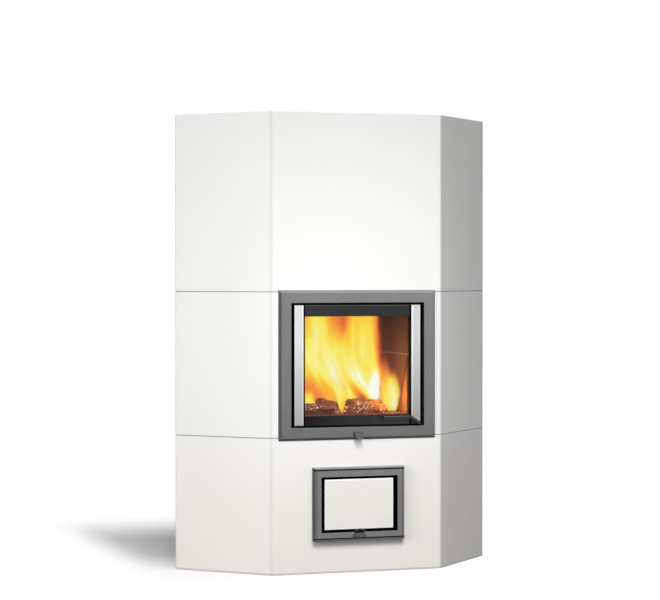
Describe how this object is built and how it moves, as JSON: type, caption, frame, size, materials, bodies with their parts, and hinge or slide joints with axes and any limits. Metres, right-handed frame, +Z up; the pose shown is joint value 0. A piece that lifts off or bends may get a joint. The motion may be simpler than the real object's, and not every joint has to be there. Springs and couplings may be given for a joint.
{
  "type": "tiled corner stove",
  "caption": "White tiled corner stove with a glazed side-hinged fire door, an air control tab and a tile-faced top-hung hatch below.",
  "frame": {"origin": "on the floor, in the middle of the footprint's width and depth", "axes": "+Z up, +Y towards the room corner behind the stove, +X to the right of someone who faces the fire door"},
  "size_m": [1.353, 1.0363, 1.86],
  "materials": {
    "white_tile": "matte white smooth tile",
    "cast_panel": "pale cast concrete",
    "core_concrete": "grey cast concrete",
    "top_concrete": "pale fine concrete",
    "storage_stone": "dense heat storage stone",
    "fire_brick": "rough refractory brick",
    "cast_grate": "sand-cast iron",
    "grey_enamel": "grey metallic stove paint",
    "black_steel": "matte black stove paint",
    "dark_handle": "satin dark stove paint",
    "pull_paint": "dark grey metallic stove paint",
    "brushed_strip": "brushed along its length",
    "fire_glass": "clear ceramic glass",
    "rope_seal": "woven glass-fibre rope",
    "plated_steel": "dull galvanised sheet",
    "bright_steel": "turned steel"
  },
  "bodies": {
    "stove": {"air_box": "plated_steel", "ash_chute": "plated_steel", "ash_compartment": "plated_steel", "ash_pan": "plated_steel", "base_slab": "core_concrete", "casing_rails": "plated_steel", "compartment_plinth": "core_concrete", "door_surround": "grey_enamel", "flue_collar": "plated_steel", "grate": "cast_grate", "hatch_frame": "grey_enamel", "hatch_pins": "bright_steel", "hearth_plate": "fire_brick", "hinge_brackets": "black_steel", "hinge_pins": "bright_steel", "insert_casing": "black_steel", "jamb_tile_left": "white_tile", "jamb_tile_right": "white_tile", "latch_keeper": "bright_steel", "lintel_slab": "core_concrete", "lower_core_wall_left": "core_concrete", "lower_core_wall_right": "core_concrete", "lower_lining_back": "fire_brick", "lower_lining_left": "fire_brick", "lower_lining_right": "fire_brick", "lower_tile_front": "white_tile", "lower_tile_left": "white_tile", "lower_tile_right": "white_tile", "middle_tile_left": "white_tile", "middle_tile_right": "white_tile", "pedestal_slab": "core_concrete", "smoke_baffle": "fire_brick", "storage_block_1": "storage_stone", "storage_block_2": "storage_stone", "storage_block_3": "storage_stone", "top_slab": "top_concrete", "upper_core_wall_left": "core_concrete", "upper_core_wall_right": "core_concrete", "upper_lining_back": "fire_brick", "upper_lining_left": "fire_brick", "upper_lining_right": "fire_brick", "upper_tile_front": "white_tile", "upper_tile_left": "white_tile", "upper_tile_right": "white_tile", "wall_panel_left": "cast_panel", "wall_panel_right": "cast_panel"},
    "fire_door": {"door_leaf": "black_steel", "door_glass": "fire_glass", "glass_retainer": "black_steel", "retainer_screws": "bright_steel", "door_seal": "rope_seal", "door_strip_left": "brushed_strip", "door_strip_right": "brushed_strip"},
    "door_lever": {"door_handle": "dark_handle", "latch_shaft": "bright_steel"},
    "air_control": {"air_lever": "grey_enamel", "air_shutter": "plated_steel"},
    "hatch": {"hatch_plate": "black_steel", "hatch_tile": "white_tile", "hatch_pull": "pull_paint"}
  },
  "joints": [
    {"name": "fire_door_hinge", "type": "hinge", "parent": "stove", "child": "fire_door", "pos_m": [-0.268, -0.49545, 0.841], "axis": [0, 0, -1], "range_deg": [0, 100]},
    {"name": "door_handle_turn", "type": "hinge", "parent": "fire_door", "child": "door_lever", "pos_m": [0.264, -0.49945, 0.601], "axis": [0, 1, 0], "range_deg": [0, 40]},
    {"name": "air_slide", "type": "slide", "parent": "stove", "child": "air_control", "axis": [1, 0, 0], "range_m": [-0.0095, 0.0095]},
    {"name": "hatch_hinge", "type": "hinge", "parent": "stove", "child": "hatch", "pos_m": [0, -0.51345, 0.38], "axis": [-1, 0, 0], "range_deg": [0, 85]}
  ]
}
